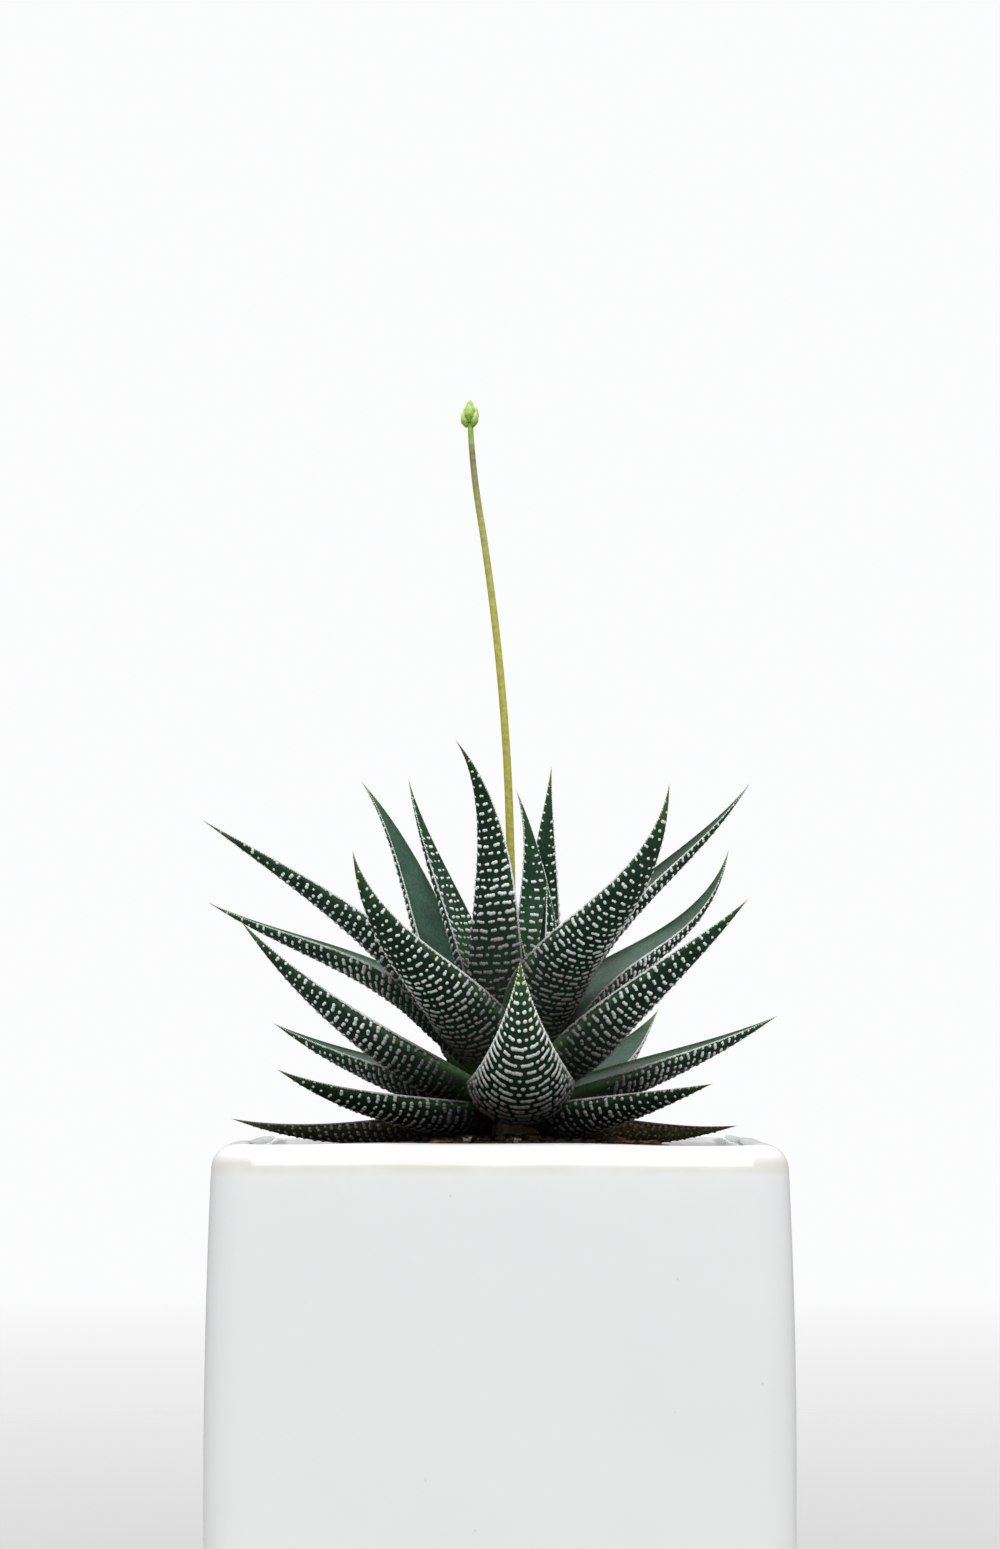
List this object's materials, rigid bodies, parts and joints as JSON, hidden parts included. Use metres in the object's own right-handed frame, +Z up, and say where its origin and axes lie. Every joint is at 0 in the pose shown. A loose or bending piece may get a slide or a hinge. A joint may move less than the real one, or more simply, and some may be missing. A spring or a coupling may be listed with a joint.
{
  "type": "potted zebra haworthia",
  "caption": "Rosette of pointed, white-banded succulent leaves with a thin flower stalk, growing in soil in a square white glazed pot that stands on its flat base.",
  "frame": {"origin": "centre of the pot's flat underside", "axes": "+Z up through the pot's middle, -Y towards the front, +X to the right seen from the front"},
  "size_m": [0.0862, 0.081, 0.1904],
  "materials": {
    "white_glaze": "gloss",
    "potting_mix": "matte",
    "grit": "matte",
    "stem_bark": "matte",
    "leaf_skin": "satin",
    "stalk_skin": "satin",
    "bud_skin": "satin"
  },
  "bodies": {
    "root": {"bud_1": "bud_skin", "bud_2": "bud_skin", "bud_3": "bud_skin", "bud_4": "bud_skin", "bud_5": "bud_skin", "bud_6": "bud_skin", "bud_7": "bud_skin", "flower_stalk": "stalk_skin", "grit_stone_1": "grit", "grit_stone_2": "grit", "grit_stone_3": "grit", "grit_stone_4": "grit", "grit_stone_5": "grit", "grit_stone_6": "grit", "grit_stone_7": "grit", "grit_stone_8": "grit", "leaf_01": "leaf_skin", "leaf_02": "leaf_skin", "leaf_03": "leaf_skin", "leaf_04": "leaf_skin", "leaf_05": "leaf_skin", "leaf_06": "leaf_skin", "leaf_07": "leaf_skin", "leaf_08": "leaf_skin", "leaf_09": "leaf_skin", "leaf_10": "leaf_skin", "leaf_11": "leaf_skin", "leaf_12": "leaf_skin", "leaf_13": "leaf_skin", "leaf_14": "leaf_skin", "leaf_15": "leaf_skin", "leaf_16": "leaf_skin", "leaf_17": "leaf_skin", "leaf_18": "leaf_skin", "leaf_19": "leaf_skin", "leaf_20": "leaf_skin", "leaf_21": "leaf_skin", "leaf_22": "leaf_skin", "leaf_23": "leaf_skin", "leaf_24": "leaf_skin", "leaf_25": "leaf_skin", "leaf_26": "leaf_skin", "leaf_27": "leaf_skin", "leaf_28": "leaf_skin", "leaf_29": "leaf_skin", "leaf_30": "leaf_skin", "pot": "white_glaze", "soil": "potting_mix", "stem_and_roots": "stem_bark"}
  },
  "joints": []
}
